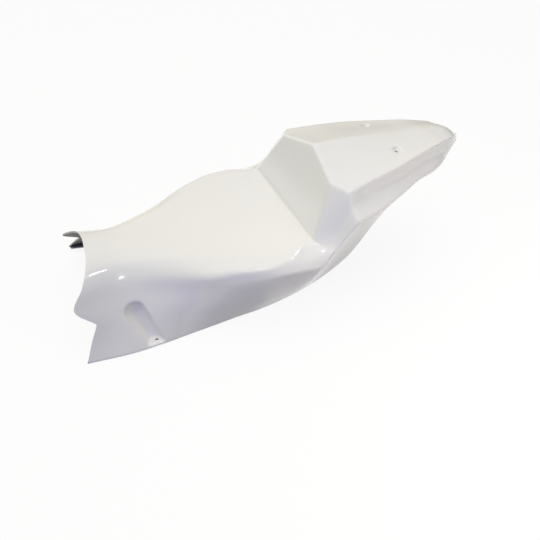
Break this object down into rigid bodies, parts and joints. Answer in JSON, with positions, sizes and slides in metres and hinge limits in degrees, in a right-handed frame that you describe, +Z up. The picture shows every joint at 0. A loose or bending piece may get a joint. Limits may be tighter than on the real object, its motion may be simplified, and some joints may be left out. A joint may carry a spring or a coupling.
{
  "type": "motorcycle racing seat unit",
  "caption": "Thin moulded seat and tail shell with an arched front, wide hips, a raised bump stop, a gabled pointed tail and bolt pockets in its skirts.",
  "frame": {"origin": "on the level lower edge of the skirts, under the middle of the length and on the centre plane", "axes": "+X from the open front to the tail point, +Y to the rider's right, +Z up"},
  "size_m": [0.8499, 0.3754, 0.265],
  "materials": {
    "gelcoat": "glossy white gelcoat over glass-fibre laminate",
    "laminate": "raw glass-fibre laminate with its strands showing, on the inner face"
  },
  "bodies": {
    "root": {"seat_shell": "gelcoat"}
  },
  "joints": []
}
